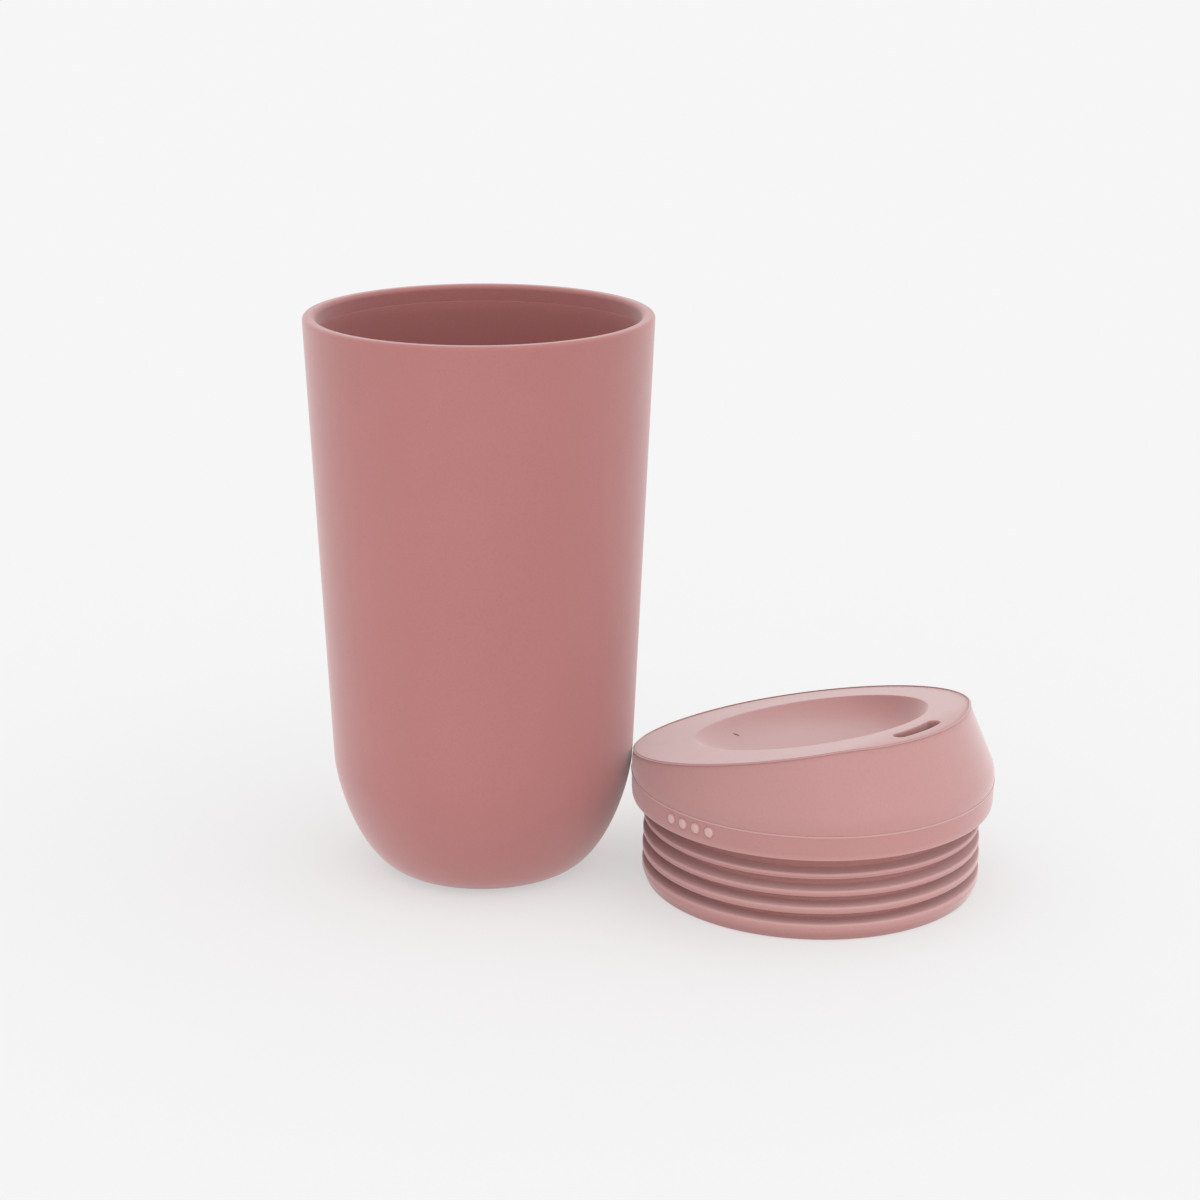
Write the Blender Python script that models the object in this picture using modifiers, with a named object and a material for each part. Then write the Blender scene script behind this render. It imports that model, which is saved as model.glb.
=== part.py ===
"""Reusable travel cup with its finned pull-off lid standing beside it.

Four pieces: a double-walled cup (outer shell and inner liner) and a
two-piece lid (a slanted, dished drinking cap pushed into a soft plug with
sealing fins). Metres, +Z up, origin at the centre of the cup's foot.
"""

from math import atan2, cos, pi, radians, sin

import bmesh
import bpy
from mathutils import Vector

MM = 0.001
STEPS = 48  # facets round every turned piece
GAP = 0.3  # clearance kept between pieces that touch, mm

# Cup, mm
CUP_H = 140.5  # overall height
RIM_R = 42.5  # outside radius at the rim
TAPER = 0.043  # radius lost per mm of depth on the straight outer wall
TANGENT_Z = 29.4  # the straight wall turns into the rounded lower body here
FOOT_FLAT_R = 20.6  # flat underside
FOOT_CORNER = 9.0  # radius of the corner round the foot
FOOT_SLOPE = 50.0  # degrees from vertical where the corner starts
MOUTH_R = 39.38  # inside radius at the mouth
RIM_OUT_FILLET = 1.0
RIM_IN_FILLET = 1.1
RIM_RETURN = 4.0  # depth of the rim's solid inner return
SHELL_T = 1.25
SHELL_FLOOR_T = 2.0
LINER_T = 1.3
LINER_FLOOR_Z = 5.2  # underside of the liner's floor
LINER_CORNER = 17.0  # radius of the liner's rounded bottom corner

# Lid, mm, on its own axis with the drinking side towards local +X
LID_X, LID_Y = 82.4, -10.9  # where the lid stands beside the cup
LID_TURN = -45.0  # degrees from +X to the drinking side
PLUG_BORE_R = 36.3
PLUG_LIP_R = 34.7
PLUG_CORE_R = 38.3
FIN_R = (42.2, 42.15, 42.0, 41.9)
FIN_Z = ((2.64, 4.42), (7.08, 8.82), (11.5, 13.0), (15.94, 17.3))
PLUG_FOOT_R = 41.2
COLLAR_R = 45.15
COLLAR_LOW_R = 44.95
COLLAR_Z = 21.75
JOINT_Z = 27.95  # top of the plug, where the cap begins
CONE_Z = 30.6  # the cap's vertical band ends and its cone begins
CONE_T = 0.43  # radius lost per mm of height on the cone
SPIGOT_R = PLUG_BORE_R - GAP
SPIGOT_BORE_R = 34.6
BEAD_Z, BEAD_H = 11.0, 0.6
TOP_Z0 = 39.62  # height of the slanted top over the lid's axis
TOP_SLOPE = 0.232
WALL_T = 2.4
DISH_R, DISH_U, DISH_V = 29.0, -3.0, 2.6  # plan radius and centre of the recess
DISH_DEPTH, DISH_DEEPEN = 6.5, 0.12
SLOT_R, SLOT_HALF_W, SLOT_HALF_DEG = 32.7, 1.75, 14.1
VENT_U, VENT_V, VENT_LENGTH, VENT_HALF_W = -23.8, -2.0, 2.2, 0.35
PIP_R, PIP_RISE, PIP_Z = 1.3, 0.4, 25.35
PIP_DEG = (-142.5, -137.35, -132.2, -127.05)  # round the lid, from world +X

PINK_HARD = (0.46, 0.21, 0.195, 1.0)
PINK_SOFT = (0.42, 0.18, 0.17, 1.0)


def clear_scene():
    for obj in list(bpy.data.objects):
        bpy.data.objects.remove(obj, do_unlink=True)


def new_collection(name):
    made = bpy.data.collections.new(name)
    bpy.context.scene.collection.children.link(made)
    return made


def material(name, colour, roughness):
    made = bpy.data.materials.new(name)
    made.use_nodes = True
    shader = made.node_tree.nodes["Principled BSDF"]
    shader.inputs["Base Color"].default_value = colour
    shader.inputs["Roughness"].default_value = roughness
    shader.inputs["Metallic"].default_value = 0.0
    return made


def place(obj, collection, parent=None):
    collection.objects.link(obj)
    if parent is not None:
        obj.parent = parent
    return obj


def as_cutter(obj):
    obj.hide_render = True
    obj.display_type = "WIRE"
    return obj


def turned(name, profile, collection, parent=None, closed=False):
    """A profile of (radius, height) in mm, turned about the local Z axis."""
    mesh = bpy.data.meshes.new(name)
    points = [Vector((r * MM, 0.0, z * MM)) for r, z in profile]
    count = len(points)
    edges = [(i, i + 1) for i in range(count - 1)]
    if closed:
        edges.append((count - 1, 0))
    mesh.from_pydata(points, edges, [])
    obj = place(bpy.data.objects.new(name, mesh), collection, parent)
    screw = obj.modifiers.new("turn", "SCREW")
    screw.axis = "Z"
    screw.angle = 2 * pi
    screw.steps = STEPS
    screw.render_steps = STEPS
    screw.use_merge_vertices = True
    screw.merge_threshold = 0.00001
    return obj


def arc(cx, cz, radius, start, end, count):
    """Points on an arc, angles in degrees from +radius towards +height."""
    step = (end - start) / count
    return [
        (
            cx + radius * cos(radians(start + i * step)),
            cz + radius * sin(radians(start + i * step)),
        )
        for i in range(count + 1)
    ]


def curve_between(p0, t0, p1, t1, count):
    """Hermite points from p0 to p1, leaving out both ends."""
    made = []
    for i in range(1, count):
        s = i / count
        h00 = 2 * s**3 - 3 * s**2 + 1
        h10 = s**3 - 2 * s**2 + s
        h01 = -2 * s**3 + 3 * s**2
        h11 = s**3 - s**2
        made.append(
            tuple(
                h00 * p0[k] + h10 * t0[k] + h01 * p1[k] + h11 * t1[k]
                for k in range(2)
            )
        )
    return made


def outer_wall(z):
    return RIM_R - TAPER * (CUP_H - z)


def liner_wall(z):
    depth = CUP_H - z
    return MOUTH_R - 0.03 * depth - 0.0003 * depth * depth


def lower_body(inset):
    """The rounded lower body, downwards from the straight wall to the foot.

    inset moves the whole curve inwards, for the shell's inner face.
    """
    lean = radians(FOOT_SLOPE)
    corner_c = (FOOT_FLAT_R, FOOT_CORNER)
    start = (outer_wall(TANGENT_Z), TANGENT_Z)
    end = (
        corner_c[0] + FOOT_CORNER * cos(lean),
        corner_c[1] - FOOT_CORNER * sin(lean),
    )
    reach = 22.0, 25.8
    run = curve_between(
        start,
        (-TAPER * reach[0], -reach[0]),
        end,
        (-sin(lean) * reach[1], -cos(lean) * reach[1]),
        9,
    )
    corner = arc(corner_c[0], corner_c[1], FOOT_CORNER, -FOOT_SLOPE, -90.0, 5)
    path = [start, *run, *corner]
    if not inset:
        return path
    moved = []
    for i, (r, z) in enumerate(path):
        a = path[max(i - 1, 0)]
        b = path[min(i + 1, len(path) - 1)]
        along = Vector((b[0] - a[0], b[1] - a[1])).normalized()
        moved.append((r + along.y * inset, z - along.x * inset))
    return moved


def shell_profile():
    inside = [(r, z) for r, z in lower_body(SHELL_T) if z > SHELL_FLOOR_T + 0.6]
    inside.reverse()
    top = CUP_H - RIM_RETURN
    return [
        (0.0, SHELL_FLOOR_T),
        (inside[0][0] - 2.5, SHELL_FLOOR_T),
        *inside,
        (outer_wall(top) - SHELL_T, top),
        (MOUTH_R, top),
        *arc(MOUTH_R + RIM_IN_FILLET, CUP_H - RIM_IN_FILLET, RIM_IN_FILLET, 180, 90, 4),
        *arc(RIM_R - RIM_OUT_FILLET, CUP_H - RIM_OUT_FILLET, RIM_OUT_FILLET, 90, 0, 4),
        *lower_body(0.0),
        (0.0, 0.0),
    ]


def liner_profile():
    top = CUP_H - RIM_RETURN - GAP
    levels = [top - (top - 26.0) * i / 6 for i in range(7)]
    floor_in = LINER_FLOOR_Z + LINER_T + 0.3
    wall_r = liner_wall(levels[-1])
    centre = (wall_r - LINER_CORNER - 0.4, floor_in + LINER_CORNER)
    inner = arc(centre[0], centre[1], LINER_CORNER, -90, -6, 7)
    outer = arc(centre[0], centre[1], LINER_CORNER + LINER_T, -6, -90, 7)
    return [
        (0.0, inner[0][1]),
        *inner,
        *[(liner_wall(z), z) for z in reversed(levels)],
        *[(liner_wall(z) + LINER_T, z) for z in levels],
        *outer,
        (0.0, outer[-1][1]),
    ]


def plug_profile():
    loop = [
        (PLUG_LIP_R, 0.0),
        (PLUG_LIP_R, 1.4),
        (PLUG_BORE_R, 1.4),
        (PLUG_BORE_R, BEAD_Z - BEAD_H - 0.9),
        (PLUG_BORE_R + BEAD_H, BEAD_Z - 0.9),
        (PLUG_BORE_R + BEAD_H, BEAD_Z + 0.9),
        (PLUG_BORE_R, BEAD_Z + BEAD_H + 0.9),
        (PLUG_BORE_R, JOINT_Z),
        (COLLAR_R - 0.15, JOINT_Z),
        (COLLAR_R, JOINT_Z - 0.15),
        (COLLAR_LOW_R, COLLAR_Z + 0.5),
        (COLLAR_LOW_R - 0.5, COLLAR_Z),
        (PLUG_CORE_R, COLLAR_Z),
    ]
    for radius, (low, high) in zip(reversed(FIN_R), reversed(FIN_Z)):
        loop += [
            (PLUG_CORE_R, high + 0.2),
            (radius - 0.2, high),
            (radius, high - 0.2),
            (radius, low + 0.2),
        ]
        if low > 3.0:
            loop += [(radius - 0.2, low), (PLUG_CORE_R, low - 0.2)]
    loop += [(PLUG_FOOT_R + 0.1, 0.5), (PLUG_FOOT_R - 0.4, 0.0)]
    return loop


def cone_r(z):
    return COLLAR_R - max(0.0, z - CONE_Z) * CONE_T


def cap_profile():
    """The cap before its slanted top is cut: spigot, shoulder and cone."""
    low = JOINT_Z + GAP
    spigot_end = 1.4 + GAP
    bead = SPIGOT_R + BEAD_H
    return [
        (0.0, 56.0),
        (cone_r(56.0), 56.0),
        (COLLAR_R, CONE_Z),
        (COLLAR_R, low + 0.15),
        (COLLAR_R - 0.15, low),
        (SPIGOT_R, low),
        (SPIGOT_R, BEAD_Z + BEAD_H + 0.6),
        (bead, BEAD_Z + 0.6),
        (bead, BEAD_Z - 0.6),
        (SPIGOT_R, BEAD_Z - BEAD_H - 0.6),
        (SPIGOT_R, spigot_end),
        (0.0, spigot_end),
    ]


def smooth(a, b, x):
    t = min(1.0, max(0.0, (x - a) / (b - a)))
    return t * t * (3 - 2 * t)


def slope_at(u):
    return TOP_SLOPE - (TOP_SLOPE - 0.075) * smooth(27.0, 33.0, u)


def top_height(u):
    """Height of the slanted top, by adding up its slope from the axis."""
    count = 60
    step = u / count
    return TOP_Z0 + sum(slope_at((i + 0.5) * step) for i in range(count)) * step


def prism(name, outline, half_width, collection, parent):
    """An outline of (along local X, height) in mm, extruded both ways along Y."""
    data = bpy.data.curves.new(name + "_outline", "CURVE")
    data.dimensions = "2D"
    data.fill_mode = "BOTH"
    data.extrude = half_width * MM
    spline = data.splines.new("POLY")
    spline.points.add(len(outline) - 1)
    for point, (x, y) in zip(spline.points, outline):
        point.co = (x * MM, y * MM, 0.0, 1.0)
    spline.use_cyclic_u = True
    return curve_to_mesh(name, data, collection, parent)


def curve_to_mesh(name, data, collection, parent):
    """A filled curve made a closed mesh with its faces pointing out."""
    guide = bpy.data.objects.new(name + "_guide", data)
    bpy.context.scene.collection.objects.link(guide)
    bpy.context.view_layer.update()
    graph = bpy.context.evaluated_depsgraph_get()
    mesh = bpy.data.meshes.new_from_object(guide.evaluated_get(graph))
    bpy.data.objects.remove(guide, do_unlink=True)
    mesh.name = name
    work = bmesh.new()
    work.from_mesh(mesh)
    bmesh.ops.remove_doubles(work, verts=work.verts, dist=0.000001)
    bmesh.ops.recalc_face_normals(work, faces=work.faces)
    work.to_mesh(mesh)
    work.free()
    return place(bpy.data.objects.new(name, mesh), collection, parent)


def below_top(name, drop, collection, parent):
    """Everything under the slanted top lowered by drop, as a thick slab."""
    outline = [(u, top_height(u) - drop) for u in range(-60, 61, 4)]
    outline += [(60, -20), (-60, -20)]
    slab = prism(name, outline, 60.0, collection, parent)
    slab.rotation_euler = (pi / 2, 0.0, 0.0)
    return slab


def above_top(name, collection, parent):
    outline = [(u, top_height(u)) for u in range(-60, 61, 4)]
    outline += [(60, 90), (-60, 90)]
    slab = prism(name, outline, 60.0, collection, parent)
    slab.rotation_euler = (pi / 2, 0.0, 0.0)
    return slab


def scoop(name, skin, collection, parent):
    """A sphere reshaped into the recess, grown by skin mm for its underside."""
    mesh = bpy.data.meshes.new(name)
    work = bmesh.new()
    bmesh.ops.create_uvsphere(work, u_segments=48, v_segments=20, radius=1.0)
    for vert in work.verts:
        ring = min(1.0, (vert.co.x**2 + vert.co.y**2) ** 0.5)
        u = DISH_U + vert.co.x * (DISH_R + skin)
        v = DISH_V + vert.co.y * (DISH_R + skin)
        top = top_height(u)
        if vert.co.z > 0.01:
            z = top + 1.0 + 14.0 * vert.co.z
        else:
            depth = (DISH_DEPTH + DISH_DEEPEN * u) * (1 - ring**4)
            z = top - depth - skin * 0.92 + (0.35 if skin == 0 else 0.0) * ring**8
        vert.co = Vector((u * MM, v * MM, z * MM))
    work.to_mesh(mesh)
    work.free()
    return place(bpy.data.objects.new(name, mesh), collection, parent)


def hollow_profile():
    """The spigot's bore, which runs on up to the underside of the top."""
    return [
        (0.0, 56.0),
        (SPIGOT_BORE_R, 56.0),
        (SPIGOT_BORE_R, -5.0),
        (0.0, -5.0),
    ]


def pocket_profile():
    """The ring pocket between the spigot and the cone, open at the bottom."""
    inner = SPIGOT_R + 0.8
    outer = COLLAR_R - WALL_T
    return [
        (inner, 25.0),
        (inner, CONE_Z + (outer - inner) / CONE_T),
        (outer, CONE_Z),
        (outer, 25.0),
    ]


def vent_outline():
    """The vent seen from above: a short slit with round ends."""
    half = VENT_LENGTH / 2 - VENT_HALF_W
    right = arc(VENT_U + half, VENT_V, VENT_HALF_W, -90, 90, 5)
    left = arc(VENT_U - half, VENT_V, VENT_HALF_W, 90, 270, 5)
    return [*right, *left]


def slot_outline():
    """The drinking slot seen from above: an arc with round ends."""
    ends = SLOT_HALF_DEG - SLOT_HALF_W / SLOT_R * 180 / pi
    outer = arc(0, 0, SLOT_R + SLOT_HALF_W, -ends, ends, 8)
    inner = arc(0, 0, SLOT_R - SLOT_HALF_W, ends, -ends, 8)
    a, b = radians(ends), radians(-ends)
    cap_a = arc(SLOT_R * cos(a), SLOT_R * sin(a), SLOT_HALF_W, ends, ends + 180, 6)
    cap_b = arc(
        SLOT_R * cos(b), SLOT_R * sin(b), SLOT_HALF_W, 180 - ends, 360 - ends, 6
    )
    return [*outer, *cap_a[1:-1], *inner, *cap_b[1:-1]]


def cylinder(name, radius, length, collection, parent, segments=16):
    mesh = bpy.data.meshes.new(name)
    work = bmesh.new()
    bmesh.ops.create_cone(
        work,
        cap_ends=True,
        segments=segments,
        radius1=radius * MM,
        radius2=radius * MM,
        depth=length * MM,
    )
    work.to_mesh(mesh)
    work.free()
    return place(bpy.data.objects.new(name, mesh), collection, parent)


def boolean(obj, name, operation, other):
    made = obj.modifiers.new(name, "BOOLEAN")
    made.operation = operation
    made.solver = "EXACT"
    made.object = other
    return made


def build():
    clear_scene()
    parts = new_collection("travel_cup")
    cutters = new_collection("cutters")

    hard_out = material("cup_outer", PINK_HARD, 0.55)
    hard_in = material("cup_inner", PINK_HARD, 0.6)
    cap_mat = material("lid_hard", PINK_HARD, 0.55)
    plug_mat = material("lid_soft", PINK_SOFT, 0.7)

    cup = bpy.data.objects.new("cup_axis", None)
    place(cup, parts)
    lid = bpy.data.objects.new("lid_axis", None)
    lid.location = (LID_X * MM, LID_Y * MM, 0.0)
    lid.rotation_euler = (0.0, 0.0, radians(LID_TURN))
    place(lid, parts)

    shell = turned("cup_outer_shell", shell_profile(), parts, cup)
    shell.data.materials.append(hard_out)
    liner = turned("cup_inner_liner", liner_profile(), parts, cup)
    liner.data.materials.append(hard_in)

    plug = turned("lid_plug", plug_profile(), parts, lid, closed=True)
    plug.data.materials.append(plug_mat)
    for i, angle in enumerate(PIP_DEG):
        around = radians(angle - LID_TURN)
        depth = 2.0
        pip = cylinder(f"pip_{i + 1}", PIP_R, depth, cutters, lid, 12)
        out = COLLAR_R - 0.05 + PIP_RISE - depth / 2
        pip.location = (out * cos(around) * MM, out * sin(around) * MM, PIP_Z * MM)
        pip.rotation_euler = (0.0, pi / 2, around)
        as_cutter(pip)
        boolean(plug, f"pip_{i + 1}", "UNION", pip)

    hollow = as_cutter(turned("hollow", hollow_profile(), cutters, lid))
    under = as_cutter(below_top("under_top", WALL_T, cutters, lid))
    boss = as_cutter(scoop("recess_skin", 2.2, cutters, lid))
    boolean(hollow, "under the top", "INTERSECT", under)
    boolean(hollow, "round the recess", "DIFFERENCE", boss)
    pocket = as_cutter(turned("pocket", pocket_profile(), cutters, lid, closed=True))
    boolean(pocket, "under the top", "INTERSECT", under)

    cap = turned("lid_cap", cap_profile(), parts, lid)
    cap.data.materials.append(cap_mat)
    boolean(cap, "slanted top", "DIFFERENCE", as_cutter(above_top("over_top", cutters, lid)))
    boolean(cap, "inside", "DIFFERENCE", hollow)
    boolean(cap, "ring pocket", "DIFFERENCE", pocket)
    boolean(cap, "recess", "DIFFERENCE", as_cutter(scoop("recess", 0.0, cutters, lid)))
    slot = as_cutter(prism("slot", slot_outline(), 12.0, cutters, lid))
    slot.location = (0.0, 0.0, 48.0 * MM)
    boolean(cap, "drinking slot", "DIFFERENCE", slot)
    vent = as_cutter(prism("vent", vent_outline(), 8.0, cutters, lid))
    vent.location = (0.0, 0.0, 31.0 * MM)
    boolean(cap, "vent", "DIFFERENCE", vent)

    for obj in (shell, liner, plug, cap):
        obj.data.shade_smooth()


build()
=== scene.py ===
"""Travel cup with its finned lid standing beside it: the fine visible surface.

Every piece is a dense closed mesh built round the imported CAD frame. Lengths in
the functions below are millimetres; meshes are written in metres.
"""

from math import ceil, cos, pi, radians, sin, tan

import bmesh
import bpy
import numpy as np
from mathutils import Matrix, Vector


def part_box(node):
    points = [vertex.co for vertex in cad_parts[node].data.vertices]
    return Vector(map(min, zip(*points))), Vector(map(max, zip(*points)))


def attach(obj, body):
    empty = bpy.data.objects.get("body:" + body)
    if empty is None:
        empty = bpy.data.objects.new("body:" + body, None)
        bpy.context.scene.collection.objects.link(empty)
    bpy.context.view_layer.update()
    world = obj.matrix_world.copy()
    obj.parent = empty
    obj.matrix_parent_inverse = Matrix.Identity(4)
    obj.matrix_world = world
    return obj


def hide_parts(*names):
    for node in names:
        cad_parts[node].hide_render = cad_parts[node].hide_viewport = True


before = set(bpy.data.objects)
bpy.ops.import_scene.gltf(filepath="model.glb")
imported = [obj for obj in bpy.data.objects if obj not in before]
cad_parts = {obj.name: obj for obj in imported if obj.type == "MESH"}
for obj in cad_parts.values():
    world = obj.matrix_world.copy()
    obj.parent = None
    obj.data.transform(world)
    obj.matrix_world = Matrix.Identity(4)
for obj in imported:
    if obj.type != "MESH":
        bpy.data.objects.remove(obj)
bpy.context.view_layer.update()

MM = 0.001

# ---------------------------------------------------------------- measures

shell_lo, shell_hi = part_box("cup_outer_shell")
plug_lo, plug_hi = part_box("lid_plug")
cap_lo, cap_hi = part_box("lid_cap")

CUP_H = shell_hi.z / MM
RIM_R = 42.5
TAPER = 0.043
TANGENT_Z = 29.4
FOOT_FLAT_R = 20.6
FOOT_CORNER = 9.0
FOOT_SLOPE = 50.0
MOUTH_R = 39.38
RIM_RETURN = 4.0
SHELL_T = 1.25
SHELL_FLOOR_T = 2.0
LINER_T = 1.3
LINER_FLOOR_Z = 5.2
LINER_CORNER = 17.0

LID_TURN = radians(-45.0)
# The cap is turned evenly round the lid's axis, unlike the plug with its pips
LID_X, LID_Y = (cap_lo.x + cap_hi.x) / 2 / MM, (cap_lo.y + cap_hi.y) / 2 / MM
PLUG_BORE_R = 36.3
PLUG_LIP_R = 34.7
PLUG_CORE_R = 38.3
FIN_R = (42.2, 42.15, 42.0, 41.9)
FIN_Z = ((2.64, 4.42), (7.08, 8.82), (11.5, 13.0), (15.94, 17.3))
PLUG_FOOT_R = 41.2
COLLAR_R = 45.0
COLLAR_LOW_R = 44.86
COLLAR_Z = 21.75
JOINT_Z = 27.95
CONE_Z = 30.6
CONE_T = 0.43
SPIGOT_R = 36.0
SPIGOT_BORE_R = 34.6
BEAD_Z, BEAD_H = 11.0, 0.6
TOP_Z0 = 39.62
TOP_SLOPE = 0.232
WALL_T = 2.4
DISH_R, DISH_U, DISH_V = 29.0, -3.0, 2.6
DISH_DEPTH, DISH_DEEPEN = 6.5, 0.12
SLOT_R, SLOT_HALF_W, SLOT_HALF_DEG = 32.7, 1.6, 14.0
VENT_U, VENT_V, VENT_LENGTH, VENT_HALF_W = -23.8, -2.0, 2.0, 0.34
PIP_R, PIP_RISE, PIP_Z = 1.35, 0.55, 25.35
PIP_DEG = (-142.5, -137.35, -132.2, -127.05)


# ---------------------------------------------------------------- profiles


def outer_wall(z):
    return RIM_R - TAPER * (CUP_H - z)


def liner_wall(z):
    depth = CUP_H - z
    return MOUTH_R - 0.03 * depth - 0.0003 * depth * depth


def arc(cx, cz, radius, start, end, count):
    a = np.radians(np.linspace(start, end, count + 1))
    return [(cx + radius * np.cos(t), cz + radius * np.sin(t)) for t in a]


def lower_body(inset, count, corner_count):
    """The rounded lower body, from the straight wall down to the flat foot."""
    lean = radians(FOOT_SLOPE)
    start = np.array((outer_wall(TANGENT_Z), TANGENT_Z))
    end = np.array(
        (FOOT_FLAT_R + FOOT_CORNER * cos(lean), FOOT_CORNER - FOOT_CORNER * sin(lean))
    )
    t0 = np.array((-TAPER, -1.0)) * 22.0
    t1 = np.array((-sin(lean), -cos(lean))) * 25.8
    path = []
    for s in np.linspace(0, 1, count + 1)[:-1]:
        h00 = 2 * s**3 - 3 * s**2 + 1
        h10 = s**3 - 2 * s**2 + s
        h01 = -2 * s**3 + 3 * s**2
        h11 = s**3 - s**2
        path.append(h00 * start + h10 * t0 + h01 * end + h11 * t1)
    path += [
        np.array(p)
        for p in arc(FOOT_FLAT_R, FOOT_CORNER, FOOT_CORNER, -FOOT_SLOPE, -90, corner_count)
    ]
    if inset:
        path = np.array(path)
        along = np.gradient(path, axis=0)
        along /= np.linalg.norm(along, axis=1)[:, None]
        path = path + np.stack((along[:, 1], -along[:, 0]), 1) * inset
    return [tuple(p) for p in path]


def rounded(corners, closed=False, step=2.5, support=0.12, fine=9.0):
    """A path through corners (r, z, fillet), rounded, with support points.

    Straight runs are cut no longer than step, with a point close to each end,
    so that smooth shading keeps its bends inside the fillets.
    """
    pts = [np.array(c[:2], float) for c in corners]
    rad = [c[2] if len(c) > 2 else 0.0 for c in corners]
    n = len(pts)
    made = []
    for i in range(n):
        if not closed and i in (0, n - 1):
            made.append([pts[i]])
            continue
        a, b, c = pts[i - 1], pts[i], pts[(i + 1) % n]
        d1, d2 = a - b, c - b
        l1, l2 = np.linalg.norm(d1), np.linalg.norm(d2)
        d1, d2 = d1 / l1, d2 / l2
        inner = np.arccos(np.clip(np.dot(d1, d2), -1, 1))
        turn = pi - inner
        if turn < 0.02 or rad[i] <= 0:
            made.append([b])
            continue
        reach = rad[i] * tan(turn / 2)
        limit = 0.46 * min(l1, l2)
        r = rad[i] if reach <= limit else limit / tan(turn / 2)
        reach = r * tan(turn / 2)
        centre = b + (d1 + d2) / np.linalg.norm(d1 + d2) * r / cos(turn / 2)
        u, v = b + d1 * reach - centre, b + d2 * reach - centre
        count = max(2, ceil(np.degrees(turn) / fine))
        made.append(
            [
                centre
                + (np.sin((1 - t) * turn) * u + np.sin(t * turn) * v) / np.sin(turn)
                for t in np.linspace(0, 1, count + 1)
            ]
        )
    path = []
    for i in range(n if closed else n - 1):
        path += made[i]
        a, b = made[i][-1], made[(i + 1) % n][0]
        gap = np.linalg.norm(b - a)
        if gap < 0.02:
            path.pop()
            continue
        if gap < 3 * support:
            continue
        ts = [support / gap]
        inside = gap - 2 * support
        for k in range(1, ceil(inside / step)):
            ts.append((support + inside * k / ceil(inside / step)) / gap)
        ts.append(1 - support / gap)
        path += [a + (b - a) * t for t in ts]
    if not closed:
        path += made[-1]
    return np.array(path)


def even_angles(count):
    return np.linspace(0, 2 * pi, count, endpoint=False)


# ------------------------------------------------------------------ meshes


def mesh_object(name, verts, faces):
    mesh = bpy.data.meshes.new(name)
    mesh.from_pydata([tuple(v) for v in (np.asarray(verts) * MM).tolist()], [], faces)
    mesh.validate()
    work = bmesh.new()
    work.from_mesh(mesh)
    bmesh.ops.recalc_face_normals(work, faces=work.faces)
    if work.calc_volume(signed=True) < 0:
        bmesh.ops.reverse_faces(work, faces=work.faces)
    work.to_mesh(mesh)
    work.free()
    mesh.shade_smooth()
    obj = bpy.data.objects.new(name, mesh)
    bpy.context.scene.collection.objects.link(obj)
    return obj


def skin(name, rings, closed):
    """A closed mesh over rings, an array (path, round, 3) of points in mm.

    closed joins the last ring to the first; otherwise each end ring is taken
    to be a single point on the axis.
    """
    n_path, n_round = rings.shape[:2]
    faces = []
    if closed:
        verts = rings.reshape(-1, 3)
        for i in range(n_path):
            a, b = i * n_round, ((i + 1) % n_path) * n_round
            for j in range(n_round):
                k = (j + 1) % n_round
                faces.append((a + j, a + k, b + k, b + j))
        return mesh_object(name, verts, faces)
    first, last = rings[0].mean(0), rings[-1].mean(0)
    inner = rings[1:-1]
    verts = np.concatenate((first[None], inner.reshape(-1, 3), last[None]))
    end = len(verts) - 1
    for j in range(n_round):
        faces.append((0, 1 + (j + 1) % n_round, 1 + j))
    for i in range(len(inner) - 1):
        a, b = 1 + i * n_round, 1 + (i + 1) * n_round
        for j in range(n_round):
            k = (j + 1) % n_round
            faces.append((a + j, a + k, b + k, b + j))
    a = 1 + (len(inner) - 1) * n_round
    for j in range(n_round):
        faces.append((end, a + j, a + (j + 1) % n_round))
    return mesh_object(name, verts, faces)


def lathe(name, path, angles, closed, cx=0.0, cy=0.0):
    path = np.asarray(path)
    r, z = path[:, 0][:, None], path[:, 1][:, None]
    rings = np.stack(
        (
            cx + r * np.cos(angles)[None],
            cy + r * np.sin(angles)[None],
            np.broadcast_to(z, (len(path), len(angles))),
        ),
        2,
    )
    return skin(name, rings, closed)


def boolean_cut(obj, cutter):
    """Cuts obj and bakes the result, so that no cutter is left in the scene."""
    made = obj.modifiers.new("cut", "BOOLEAN")
    made.operation = "DIFFERENCE"
    made.solver = "EXACT"
    made.object = cutter
    graph = bpy.context.evaluated_depsgraph_get()
    graph.update()
    cut = bpy.data.meshes.new_from_object(obj.evaluated_get(graph))
    obj.modifiers.clear()
    old = obj.data
    obj.data = cut
    cut.name = obj.name
    bpy.data.meshes.remove(old)
    bpy.data.objects.remove(cutter, do_unlink=True)


# --------------------------------------------------------------------- cup


def make_shell():
    inside = [p for p in lower_body(SHELL_T, 20, 12) if p[1] > SHELL_FLOOR_T + 0.6]
    inside.reverse()
    top = CUP_H - RIM_RETURN
    outer = lower_body(0.0, 40, 16)
    wall = rounded(
        [
            (outer_wall(top) - SHELL_T, top, 0.1),
            (MOUTH_R, top, 0.05),
            (MOUTH_R, CUP_H, 1.15),
            (RIM_R, CUP_H, 0.95),
            (outer[0][0], TANGENT_Z),
        ],
        step=3.0,
        fine=7.5,
    )
    foot = rounded([(outer[-1][0], 0.0), (0.0, 0.0)], step=2.5)
    path = [
        *rounded([(0.0, SHELL_FLOOR_T), (inside[0][0] - 2.5, SHELL_FLOOR_T)]),
        *inside,
        *wall[:-1],
        *outer,
        *foot[1:],
    ]
    return lathe("cup_outer_surface", path, even_angles(288), False)


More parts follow.
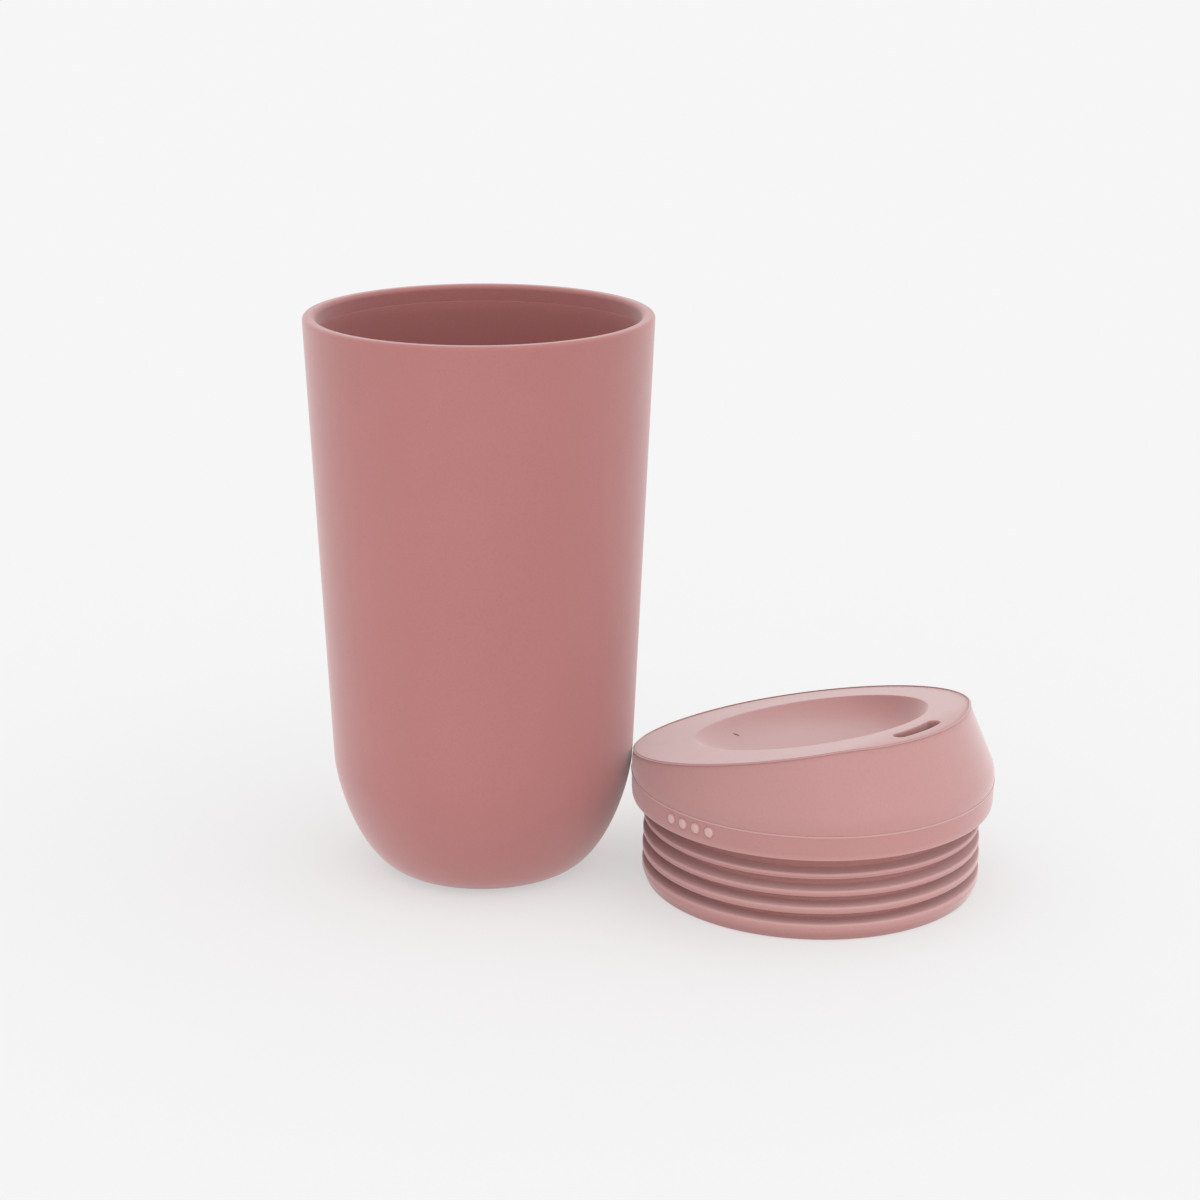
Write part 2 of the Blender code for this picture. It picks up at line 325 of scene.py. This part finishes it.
def make_liner():
    top = CUP_H - RIM_RETURN - 0.03
    floor_in = LINER_FLOOR_Z + LINER_T + 0.3
    wall_r = liner_wall(26.0)
    cx, cz = wall_r - LINER_CORNER - 0.4, floor_in + LINER_CORNER
    levels = np.linspace(26.0, top - 0.15, 46)
    path = [
        *rounded([(0.0, floor_in), (cx, floor_in)]),
        *arc(cx, cz, LINER_CORNER, -90, -6, 28)[1:],
        *[(liner_wall(z), z) for z in levels],
        (liner_wall(top) + 0.03, top),
        (liner_wall(top) + LINER_T - 0.05, top),
        *[(liner_wall(z) + LINER_T, z) for z in levels[::-3]],
        *arc(cx, cz, LINER_CORNER + LINER_T, -6, -90, 16),
        (cx - 4.0, LINER_FLOOR_Z + 0.3),
        (0.0, LINER_FLOOR_Z + 0.3),
    ]
    return lathe("cup_inner_surface", path, even_angles(256), False)


# --------------------------------------------------------------------- lid


def make_plug():
    corners = [
        (PLUG_LIP_R, 0.0, 0.3),
        (PLUG_LIP_R, 1.4, 0.3),
        (PLUG_BORE_R, 1.4, 0.2),
        (PLUG_BORE_R, BEAD_Z - BEAD_H - 0.9, 0.3),
        (PLUG_BORE_R + BEAD_H, BEAD_Z - 0.9, 0.3),
        (PLUG_BORE_R + BEAD_H, BEAD_Z + 0.9, 0.3),
        (PLUG_BORE_R, BEAD_Z + BEAD_H + 0.9, 0.3),
        (PLUG_BORE_R, JOINT_Z, 0.2),
        (COLLAR_R + 0.13, JOINT_Z, 0.1),
        (COLLAR_R + 0.13, JOINT_Z - 0.3, 0.13),
        (COLLAR_R, JOINT_Z - 0.46, 0.15),
        (COLLAR_R - 0.01, 27.3),
        (COLLAR_R - 0.03, 23.4),
        (COLLAR_LOW_R, COLLAR_Z + 0.4, 0.0),
        (COLLAR_LOW_R - 0.1, COLLAR_Z, 0.55),
        (PLUG_CORE_R, COLLAR_Z, 0.5),
    ]
    for radius, (low, high) in zip(reversed(FIN_R), reversed(FIN_Z)):
        corners += [
            (PLUG_CORE_R, high + 0.2, 0.5),
            (radius, high, 0.42),
            (radius, low, 0.42),
        ]
        if low > 3.0:
            corners += [(PLUG_CORE_R, low - 0.2, 0.5)]
    corners += [(PLUG_FOOT_R + 0.1, 0.2, 0.5), (PLUG_FOOT_R - 0.5, 0.0, 0.2)]
    path = rounded(corners, closed=True, step=2.0, fine=11.0)
    # Finer rows on the band that carries the pips
    z, r = path[:, 1], path[:, 0]
    band = (r > 44.5) & (z > 23.3) & (z < 27.4)
    keep = [i for i in range(len(path)) if not band[i]]
    cut = next(k for k in range(len(keep) - 1) if keep[k + 1] - keep[k] > 1)
    rows = np.arange(27.3, 23.35, -0.13)
    dense = np.stack((COLLAR_R - 0.03 * (27.3 - rows) / 3.9, rows), 1)
    path = np.concatenate((path[keep[: cut + 1]], dense, path[keep[cut + 1 :]]))

    first, last = radians(-145.6), radians(-125.3)
    fine = np.arange(first, last, 0.13 / COLLAR_R)
    rest = np.linspace(fine[-1], first + 2 * pi, 244)[1:-1]
    angles = np.concatenate((fine, rest))
    r, z = path[:, 0][:, None], path[:, 1][:, None]
    rr = np.broadcast_to(r, (len(path), len(angles))).copy()
    on_band = (r > 44.5) & (z > 23.3) & (z < 27.4)
    for deg in PIP_DEG:
        side = (angles - radians(deg)) * COLLAR_R
        d = np.hypot(side[None], z - PIP_Z)
        s = np.clip(d / PIP_R, 0, 1)
        dome = PIP_RISE * (1 - s**2.6) ** 0.6
        moat = -0.12 * np.exp(-(((d - PIP_R - 0.16) / 0.16) ** 2))
        rr += np.where(on_band, np.where(d < PIP_R, dome, 0.0) + moat, 0.0)
    rings = np.stack(
        (
            LID_X + rr * np.cos(angles)[None],
            LID_Y + rr * np.sin(angles)[None],
            np.broadcast_to(z, rr.shape),
        ),
        2,
    )
    return skin("lid_plug_surface", rings, True)


def smooth(a, b, x):
    t = np.clip((x - a) / (b - a), 0, 1)
    return t * t * (3 - 2 * t)


def slope_at(u):
    return TOP_SLOPE - (TOP_SLOPE - 0.075) * smooth(27.0, 33.0, u)


_U = np.linspace(-60, 60, 4801)
_H = np.concatenate(([0.0], np.cumsum((slope_at(_U[1:]) + slope_at(_U[:-1])) / 2 * np.diff(_U))))
_H = _H - np.interp(0.0, _U, _H) + TOP_Z0


def top_height(u):
    return np.interp(u, _U, _H)


def soft(x, width):
    """max(0, x) with a rounded knee."""
    return (x + np.sqrt(x * x + width * width)) / 2


def wall_r(z):
    return COLLAR_R - CONE_T * (soft(z - CONE_Z, 0.5) - soft(28.2 - CONE_Z, 0.5))


def dish_drop(u, v, radius, less):
    ring = np.hypot(u - DISH_U, v - DISH_V) / radius
    # the far wall, behind the slot, is the steepest
    toward = (0.8 * (u - DISH_U) + 0.6 * (v - DISH_V)) / radius
    power = 5.0 + 6.0 * smooth(0.0, 0.9, toward)
    depth = (DISH_DEPTH + DISH_DEEPEN * u) * (1 - np.minimum(ring, 1.5) ** power)
    return soft(depth - less, 0.15)


def make_cap():
    angles = even_angles(432)
    ca, sa = np.cos(angles), np.sin(angles)
    n = len(angles)

    def ring(r, z):
        r = np.broadcast_to(r, (n,))
        return np.stack((r * ca, r * sa, np.broadcast_to(z, (n,))), 1)

    def surface(u, v):
        return top_height(u) - dish_drop(u, v, DISH_R, 0.0)

    def ceiling(u, v):
        return top_height(u) - WALL_T - dish_drop(u, v, DISH_R + 2.2, 0.4)

    # where the cone meets the slanted top, for each angle
    low_z, high_z = np.full(n, 25.0), np.full(n, 56.0)
    for _ in range(50):
        mid = (low_z + high_z) / 2
        below = top_height(wall_r(mid) * ca) > mid
        low_z = np.where(below, mid, low_z)
        high_z = np.where(below, high_z, mid)
    edge_z = (low_z + high_z) / 2
    edge_r = wall_r(edge_z)

    wall_slope = (wall_r(edge_z + 0.05) - wall_r(edge_z - 0.05)) / 0.1
    d_wall = np.stack((wall_slope, np.ones(n)), 1)
    d_wall /= np.linalg.norm(d_wall, axis=1)[:, None]
    d_top = np.stack((-np.ones(n), -slope_at(edge_r * ca) * ca), 1)
    d_top /= np.linalg.norm(d_top, axis=1)[:, None]
    turn = np.arccos(np.sum(d_wall * d_top, 1))
    fillet = np.minimum(1.0, (edge_z - low_z - 0.35) / np.tan(turn / 2))
    reach = fillet * np.tan(turn / 2)
    edge = np.stack((edge_r, edge_z), 1)
    into = d_top - d_wall
    into /= np.linalg.norm(into, axis=1)[:, None]
    centre = edge + into * (fillet / np.cos(turn / 2))[:, None]
    start, end = edge - d_wall * reach[:, None], edge + d_top * reach[:, None]

    rings = []
    # ceiling, from the dish's centre out to the bore
    under_r = SPIGOT_BORE_R
    for s in (0.0, 0.02, 0.08, 0.16, 0.25, 0.34, 0.43, 0.52, 0.6, 0.67, 0.73, 0.78,
              0.83, 0.87, 0.9, 0.925, 0.945, 0.96, 0.975, 0.988, 0.996, 1.0):
        u = DISH_U * (1 - s) + under_r * ca * s
        v = DISH_V * (1 - s) + under_r * sa * s
        rings.append(np.stack((u, v, ceiling(u, v)), 1))
    # bore down to the spigot's end, up its outside, and the shoulder
    bore_top = rings[-1][:, 2]
    end_z = 1.4 + 0.3
    for t in (0.01, 0.1, 0.25, 0.4, 0.55, 0.7, 0.85, 0.98):
        rings.append(ring(under_r, bore_top * (1 - t) + (end_z + 0.3) * t))
    low_z = JOINT_Z + 0.03
    spigot = rounded(
        [
            (under_r, end_z + 0.3),
            (under_r, end_z, 0.3),
            (SPIGOT_R, end_z, 0.4),
            (SPIGOT_R, BEAD_Z - BEAD_H - 0.6, 0.3),
            (SPIGOT_R + BEAD_H, BEAD_Z - 0.6, 0.3),
            (SPIGOT_R + BEAD_H, BEAD_Z + 0.6, 0.3),
            (SPIGOT_R, BEAD_Z + BEAD_H + 0.6, 0.3),
            (SPIGOT_R, low_z, 0.1),
            (COLLAR_R, low_z, 0.05),
            (COLLAR_R, low_z + 0.25),
        ],
        step=3.0,
        fine=15.0,
    )
    for r, z in spigot:
        rings.append(ring(r, z))
    # outer wall up to the fillet, closer together where it bends into the cone
    for t in (0.04, 0.1, 0.18, 0.26, 0.34, 0.42, 0.5, 0.58, 0.66, 0.74, 0.82, 0.9, 0.96, 0.985):
        z = (low_z + 0.25) * (1 - t) + start[:, 1] * t
        rings.append(ring(wall_r(z), z))
    u0, u1 = start - centre, end - centre
    for t in np.linspace(0, 1, 13):
        w0 = (np.sin((1 - t) * turn) / np.sin(turn))[:, None]
        w1 = (np.sin(t * turn) / np.sin(turn))[:, None]
        p = centre + u0 * w0 + u1 * w1
        if t == 0:
            p[:, 0] = wall_r(p[:, 1])
        rings.append(ring(p[:, 0], p[:, 1]))
    # slanted rim of the top, in to the dish's edge
    half = DISH_U * ca + DISH_V * sa
    dish_r = half + np.sqrt(half**2 - DISH_U**2 - DISH_V**2 + DISH_R**2)
    land = np.array((0.015, 0.08, 0.16, 0.25, 0.34, 0.43, 0.51, 0.58, 0.64, 0.7, 0.75,
                     0.8, 0.84, 0.88, 0.91, 0.935, 0.955, 0.97, 0.985, 1.0))
    for t in land:
        r = end[:, 0] * (1 - t) + dish_r * t
        rings.append(ring(r, surface(r * ca, r * sa)))
    ru, rv = dish_r * ca - DISH_U, dish_r * sa - DISH_V
    inside = (0.12, 0.25, 0.4, 0.55, 0.75, 1.0, 1.3, 1.65, 2.05, 2.5, 3.0, 3.6, 4.2, 5,
              5.8, 6.6, 7.5, 8.5, 9.5, 10.5, 11.5, 12.7, 14, 15.5, 17, 18.5, 20, 21.5,
              23, 24.5, 26, 27.4, 28.5, 29.0)
    for d in inside:
        k = 1 - d / DISH_R
        u, v = DISH_U + ru * k, DISH_V + rv * k
        rings.append(np.stack((u, v, surface(u, v)), 1))
    cap = skin("lid_cap_surface", np.array(rings), False)
    boolean_cut(cap, slot_cutter(surface))
    boolean_cut(cap, vent_cutter(surface))
    cap.data.shade_smooth()
    cap.data.set_sharp_from_angle(angle=radians(38))
    turn_mat = Matrix.Translation((LID_X * MM, LID_Y * MM, 0)) @ Matrix.Rotation(
        LID_TURN, 4, "Z"
    )
    cap.data.transform(turn_mat)
    return cap


def capsule(cu, cv, half_w, half_len, count):
    """Plan points round a straight capsule along u, centred at (cu, cv)."""
    pts = []
    for k in range(count + 1):
        t = -pi / 2 + pi * k / count
        pts.append((cu + half_len - half_w + half_w * cos(t), cv + half_w * sin(t)))
    for k in range(count + 1):
        t = pi / 2 + pi * k / count
        pts.append((cu - half_len + half_w + half_w * cos(t), cv + half_w * sin(t)))
    return np.array(pts)


def slot_plan(half_w):
    """Plan points round the curved slot, with round ends."""
    ends = radians(SLOT_HALF_DEG) - SLOT_HALF_W / SLOT_R
    pts = []
    for t in np.linspace(-ends, ends, 25):
        pts.append(((SLOT_R + half_w) * cos(t), (SLOT_R + half_w) * sin(t)))
    for k in range(1, 12):
        t = ends + pi * k / 12
        pts.append((SLOT_R * cos(ends) + half_w * cos(t), SLOT_R * sin(ends) + half_w * sin(t)))
    for t in np.linspace(ends, -ends, 25):
        pts.append(((SLOT_R - half_w) * cos(t), (SLOT_R - half_w) * sin(t)))
    for k in range(1, 12):
        t = pi - ends + pi * k / 12
        pts.append((SLOT_R * cos(-ends) + half_w * cos(t), SLOT_R * sin(-ends) + half_w * sin(t)))
    return np.array(pts)


def loft_cutter(name, plan_of, levels, surface, bottom):
    """A cutter whose outline widens towards the surface it cuts.

    levels are (height above the surface, extra half width), from the top down.
    """
    rings = []
    for rise, wider in levels:
        p = plan_of(wider)
        rings.append(np.stack((p[:, 0], p[:, 1], surface(p[:, 0], p[:, 1]) + rise), 1))
    p = plan_of(levels[-1][1])
    rings.append(np.stack((p[:, 0], p[:, 1], np.full(len(p), bottom)), 1))
    first = np.broadcast_to(rings[0].mean(0), rings[0].shape)
    last = np.broadcast_to(rings[-1].mean(0), rings[-1].shape)
    return skin(name, np.array([first, *rings, last]), False)


def slot_cutter(surface):
    levels = ((3.0, 0.28), (0.12, 0.28), (-0.03, 0.2), (-0.14, 0.1), (-0.32, 0.03), (-0.6, 0.0))
    return loft_cutter(
        "slot", lambda w: slot_plan(SLOT_HALF_W + w), levels, surface, 36.0
    )


def vent_cutter(surface):
    levels = ((2.0, 0.1), (0.06, 0.1), (-0.06, 0.05), (-0.2, 0.0))
    return loft_cutter(
        "vent",
        lambda w: capsule(VENT_U, VENT_V, VENT_HALF_W + w, VENT_LENGTH / 2 + w, 8),
        levels,
        surface,
        26.0,
    )


# --------------------------------------------------------------- materials


def soft_plastic(name, base, deep, pale, roughness, grain, sheen, spec=0.45):
    """Moulded matte plastic: faint mottling, fine grain, soft pale edges."""
    mat = bpy.data.materials.new(name)
    mat.use_nodes = True
    tree = mat.node_tree
    nodes, links = tree.nodes, tree.links
    shader = nodes["Principled BSDF"]
    coords = nodes.new("ShaderNodeTexCoord")

    def noise(scale, detail, rough=0.5, seed=0.0):
        node = nodes.new("ShaderNodeTexNoise")
        node.noise_dimensions = "4D"
        node.inputs["W"].default_value = seed
        node.inputs["Scale"].default_value = scale
        node.inputs["Detail"].default_value = detail
        node.inputs["Roughness"].default_value = rough
        links.new(coords.outputs["Object"], node.inputs["Vector"])
        return node

    def ramp(source, stops):
        node = nodes.new("ShaderNodeValToRGB")
        node.color_ramp.interpolation = "EASE"
        while len(node.color_ramp.elements) < len(stops):
            node.color_ramp.elements.new(0.5)
        for element, (pos, value) in zip(node.color_ramp.elements, stops):
            element.position = pos
            element.color = value
        links.new(source, node.inputs["Fac"])
        return node

    # broad mottling of the filled plastic, then fine flecks
    broad = ramp(noise(22.0, 3.0, 0.5, 1.3).outputs["Fac"], ((0.3, deep), (0.5, base), (0.72, pale)))
    fleck = noise(1500.0, 2.0, 0.6, 4.1)
    flecks = ramp(fleck.outputs["Fac"], ((0.36, (0.97, 0.968, 0.968, 1)), (0.52, (1, 1, 1, 1)), (0.7, (1.0, 1.0, 1.0, 1))))
    mix = nodes.new("ShaderNodeMix")
    mix.data_type = "RGBA"
    mix.blend_type = "MULTIPLY"
    mix.inputs["Factor"].default_value = 1.0
    links.new(broad.outputs["Color"], mix.inputs["A"])
    links.new(flecks.outputs["Color"], mix.inputs["B"])
    colour = mix.outputs["Result"]
    # the first layer paints pale highlights on the plug's pips, joint line, collar edge and fin crests; the
    # second paints dark shade at the cup's foot and the plug's foot ring
    for layer, tint in (("painted_highlights", (0.63, 0.40, 0.385, 1.0)), ("foot_shade", (0.17, 0.035, 0.033, 1.0))):
        mask = nodes.new("ShaderNodeAttribute")
        mask.attribute_type = "GEOMETRY"
        mask.attribute_name = layer
        over = nodes.new("ShaderNodeMix")
        over.data_type = "RGBA"
        links.new(mask.outputs["Fac"], over.inputs["Factor"])
        links.new(colour, over.inputs["A"])
        over.inputs["B"].default_value = tint
        colour = over.outputs["Result"]
    links.new(colour, shader.inputs["Base Color"])

    vary = nodes.new("ShaderNodeMapRange")
    vary.inputs["From Min"].default_value = 0.3
    vary.inputs["From Max"].default_value = 0.7
    vary.inputs["To Min"].default_value = roughness - 0.05
    vary.inputs["To Max"].default_value = roughness + 0.06
    links.new(noise(140.0, 3.0, 0.6, 2.7).outputs["Fac"], vary.inputs["Value"])
    links.new(vary.outputs["Result"], shader.inputs["Roughness"])

    # spark-eroded grain of the mould, over a very faint flow waviness
    bump_fine = nodes.new("ShaderNodeBump")
    bump_fine.inputs["Strength"].default_value = grain
    bump_fine.inputs["Distance"].default_value = 0.00006
    links.new(noise(2600.0, 2.0, 0.55, 7.9).outputs["Fac"], bump_fine.inputs["Height"])
    bump_wide = nodes.new("ShaderNodeBump")
    bump_wide.inputs["Strength"].default_value = 0.12
    bump_wide.inputs["Distance"].default_value = 0.0004
    links.new(noise(60.0, 2.0, 0.5, 3.3).outputs["Fac"], bump_wide.inputs["Height"])
    links.new(bump_fine.outputs["Normal"], bump_wide.inputs["Normal"])
    links.new(bump_wide.outputs["Normal"], shader.inputs["Normal"])

    shader.inputs["Metallic"].default_value = 0.0
    shader.inputs["Specular IOR Level"].default_value = spec
    shader.inputs["Sheen Weight"].default_value = sheen
    shader.inputs["Sheen Roughness"].default_value = 0.45
    shader.inputs["Sheen Tint"].default_value = (1.0, 0.95, 0.95, 1.0)
    return mat


def paint(obj, name, value_at):
    """Store value_at(x, y, z), in mm, on each vertex for the material to read."""
    mesh = obj.data
    flat = np.empty(3 * len(mesh.vertices), dtype=np.float32)
    mesh.vertices.foreach_get("co", flat)
    x, y, z = (flat.reshape(-1, 3) / MM).T
    layer = mesh.attributes.new(name, "FLOAT", "POINT")
    layer.data.foreach_set("value", value_at(x, y, z).astype(np.float32))


def foot_shade(x, y, z):
    """The thin dark line where the cup's rounded corner turns under."""
    r = np.hypot(x, y)
    return 0.8 * (1.0 - smooth(1.3, 2.5, z)) * smooth(21.0, 22.2, r)


def ring_shade(x, y, z):
    """The plug's foot ring stays in the shade of the fin above it."""
    r = np.hypot(x - LID_X, y - LID_Y)
    return 0.26 * (1.0 - smooth(1.9, 2.7, z)) * smooth(40.7, 41.1, r)


def painted_highlights(x, y, z):
    """Painted highlights: the pale tops of the pips and the pale line along the joint, the collar's lower edge
    and the fin crests, where light catches.
    """
    r = np.hypot(x - LID_X, y - LID_Y)
    turn = np.arctan2(y - LID_Y, x - LID_X)
    value = 0.55 * smooth(JOINT_Z - 0.42, JOINT_Z - 0.3, z) * smooth(COLLAR_R + 0.02, COLLAR_R + 0.1, r)
    low_edge = smooth(COLLAR_Z - 0.02, COLLAR_Z + 0.15, z) * (1 - smooth(COLLAR_Z + 0.4, COLLAR_Z + 0.75, z))
    value = np.maximum(value, 0.25 * low_edge * smooth(44.2, 44.6, r))
    for radius, (low, high) in zip(FIN_R, FIN_Z):
        crest = smooth(high - 0.75, high - 0.35, z) * (1 - smooth(high + 0.1, high + 0.3, z))
        value = np.maximum(value, 0.5 * crest * smooth(radius - 0.9, radius - 0.3, r))
    for deg in PIP_DEG:
        d = np.hypot((turn - radians(deg)) * COLLAR_R, z - PIP_Z)
        pip = np.where(r > COLLAR_R - 0.6, 1 - smooth(PIP_R - 0.35, PIP_R - 0.05, d), 0.0)
        value = np.maximum(value, pip)
    return value


def shade(base, factor):
    return (base[0] * factor, base[1] * factor, base[2] * factor, 1.0)


PINK = (0.43, 0.162, 0.155)
LINER_PINK = (0.42, 0.155, 0.148)
LID_PINK = (0.47, 0.236, 0.228)
PLUG_PINK = (0.475, 0.228, 0.218)

cup_mat = soft_plastic(
    "cup_outer_plastic", shade(PINK, 1.0), shade(PINK, 0.972), shade(PINK, 1.022), 0.6, 0.2, 0.65
)
liner_mat = soft_plastic(
    "cup_inner_plastic", shade(LINER_PINK, 1.0), shade(LINER_PINK, 0.972), shade(LINER_PINK, 1.02), 0.65, 0.2, 0.3
)
cap_mat = soft_plastic(
    "lid_hard_plastic", shade(LID_PINK, 1.0), shade(LID_PINK, 0.972), shade(LID_PINK, 1.022), 0.62, 0.25, 0.9
)
plug_mat = soft_plastic(
    "lid_soft_rubber", shade(PLUG_PINK, 1.0), shade(PLUG_PINK, 0.97), shade(PLUG_PINK, 1.02), 0.7, 0.3, 0.8, 0.4
)

# ------------------------------------------------------------------ pieces

lit = {body: bpy.data.collections.new(body + "_lit") for body in ("cup", "lid")}

for make, mat, body, node, slot in (
    (make_shell, cup_mat, "cup", "cup_outer_shell", "cup_outer"),
    (make_liner, liner_mat, "cup", "cup_inner_liner", "cup_inner"),
    (make_cap, cap_mat, "lid", "lid_cap", "lid_hard"),
    (make_plug, plug_mat, "lid", "lid_plug", "lid_soft"),
):
    piece = make()
    piece.data.materials.clear()
    piece.data.materials.append(mat)
    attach(piece, body)
    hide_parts(node)
    lit[body].objects.link(piece)
    if make is make_shell:
        paint(piece, "foot_shade", foot_shade)
    if make is make_plug:
        # painted highlights on the pips, joint line, collar edge and fin crests, then painted shade on the foot
        # ring
        paint(piece, "painted_highlights", painted_highlights)
        paint(piece, "foot_shade", ring_shade)

# ------------------------------------------------------ floor, light, camera

floor_mesh = bpy.data.meshes.new("floor")
work = bmesh.new()
bmesh.ops.create_grid(work, x_segments=1, y_segments=1, size=60.0)
work.to_mesh(floor_mesh)
work.free()
floor = bpy.data.objects.new("floor", floor_mesh)
bpy.context.scene.collection.objects.link(floor)
floor_mat = bpy.data.materials.new("floor_pale")
floor_mat.use_nodes = True
tree = floor_mat.node_tree
paper = tree.nodes["Principled BSDF"]
grain = tree.nodes.new("ShaderNodeTexNoise")
grain.inputs["Scale"].default_value = 900.0
tint = tree.nodes.new("ShaderNodeValToRGB")
tint.color_ramp.elements[0].color = (0.370, 0.370, 0.370, 1)
tint.color_ramp.elements[1].color = (0.380, 0.380, 0.380, 1)
place = tree.nodes.new("ShaderNodeTexCoord")
tree.links.new(place.outputs["Object"], grain.inputs["Vector"])
tree.links.new(grain.outputs["Fac"], tint.inputs["Fac"])
tree.links.new(tint.outputs["Color"], paper.inputs["Base Color"])
paper.inputs["Roughness"].default_value = 1.0
# a softly backlit table, as in catalogue pictures
paper.inputs["Emission Color"].default_value = (1.0, 1.0, 1.0, 1.0)
paper.inputs["Emission Strength"].default_value = 0.5
paper.inputs["Specular IOR Level"].default_value = 0.0
floor.data.materials.append(floor_mat)

scene = bpy.context.scene
scene.view_settings.view_transform = "Standard"
scene.view_settings.look = "None"

world = bpy.data.worlds.new("studio")
scene.world = world
world.use_nodes = True
world.node_tree.nodes["Background"].inputs["Color"].default_value = (1.0, 1.0, 1.0, 1.0)
world.node_tree.nodes["Background"].inputs["Strength"].default_value = 0.95


def area_light(name, place, target, size, power):
    data = bpy.data.lights.new(name, "AREA")
    data.shape = "DISK"
    data.size = size
    data.energy = power
    lamp = bpy.data.objects.new(name, data)
    lamp.location = place
    direction = Vector(target) - Vector(place)
    lamp.rotation_euler = direction.to_track_quat("-Z", "Y").to_euler()
    scene.collection.objects.link(lamp)
    return lamp


def sun(name, direction, strength, angle):
    """A distant soft light shining along direction."""
    data = bpy.data.lights.new(name, "SUN")
    data.energy = strength
    data.angle = radians(angle)
    lamp = bpy.data.objects.new(name, data)
    lamp.rotation_euler = Vector(direction).to_track_quat("-Z", "Y").to_euler()
    scene.collection.objects.link(lamp)
    return lamp


sun("overhead", (-0.3, 0.25, -1.0), 0.6, 70.0)

for body, place, target, power in (
    ("cup", (-0.13, -0.36, 0.09), (0.0, 0.0, 0.02), 0.16),
    ("lid", (0.24, -0.34, 0.12), (0.085, 0.0, 0.02), 0.2),
):
    low = area_light(body + "_fill", place, target, 0.2, power)
    low.light_linking.receiver_collection = lit[body]

pitch, roll = radians(16.937), radians(-0.195)
ahead = Vector((0.0, cos(pitch), -sin(pitch)))
right = Vector((1.0, 0.0, 0.0))
down = ahead.cross(right)
right2 = right * cos(roll) + down * sin(roll)
down2 = down * cos(roll) - right * sin(roll)
camera_data = bpy.data.cameras.new("camera")
camera_data.sensor_width = 36.0
camera_data.lens = 75.299
camera_data.clip_start = 0.01
camera_data.clip_end = 200.0
camera = bpy.data.objects.new("camera", camera_data)
scene.collection.objects.link(camera)
turned = Matrix((right2, -down2, -ahead)).transposed()
camera.matrix_world = Matrix.Translation((0.029342, -0.597987, 0.250452)) @ turned.to_4x4()
scene.camera = camera
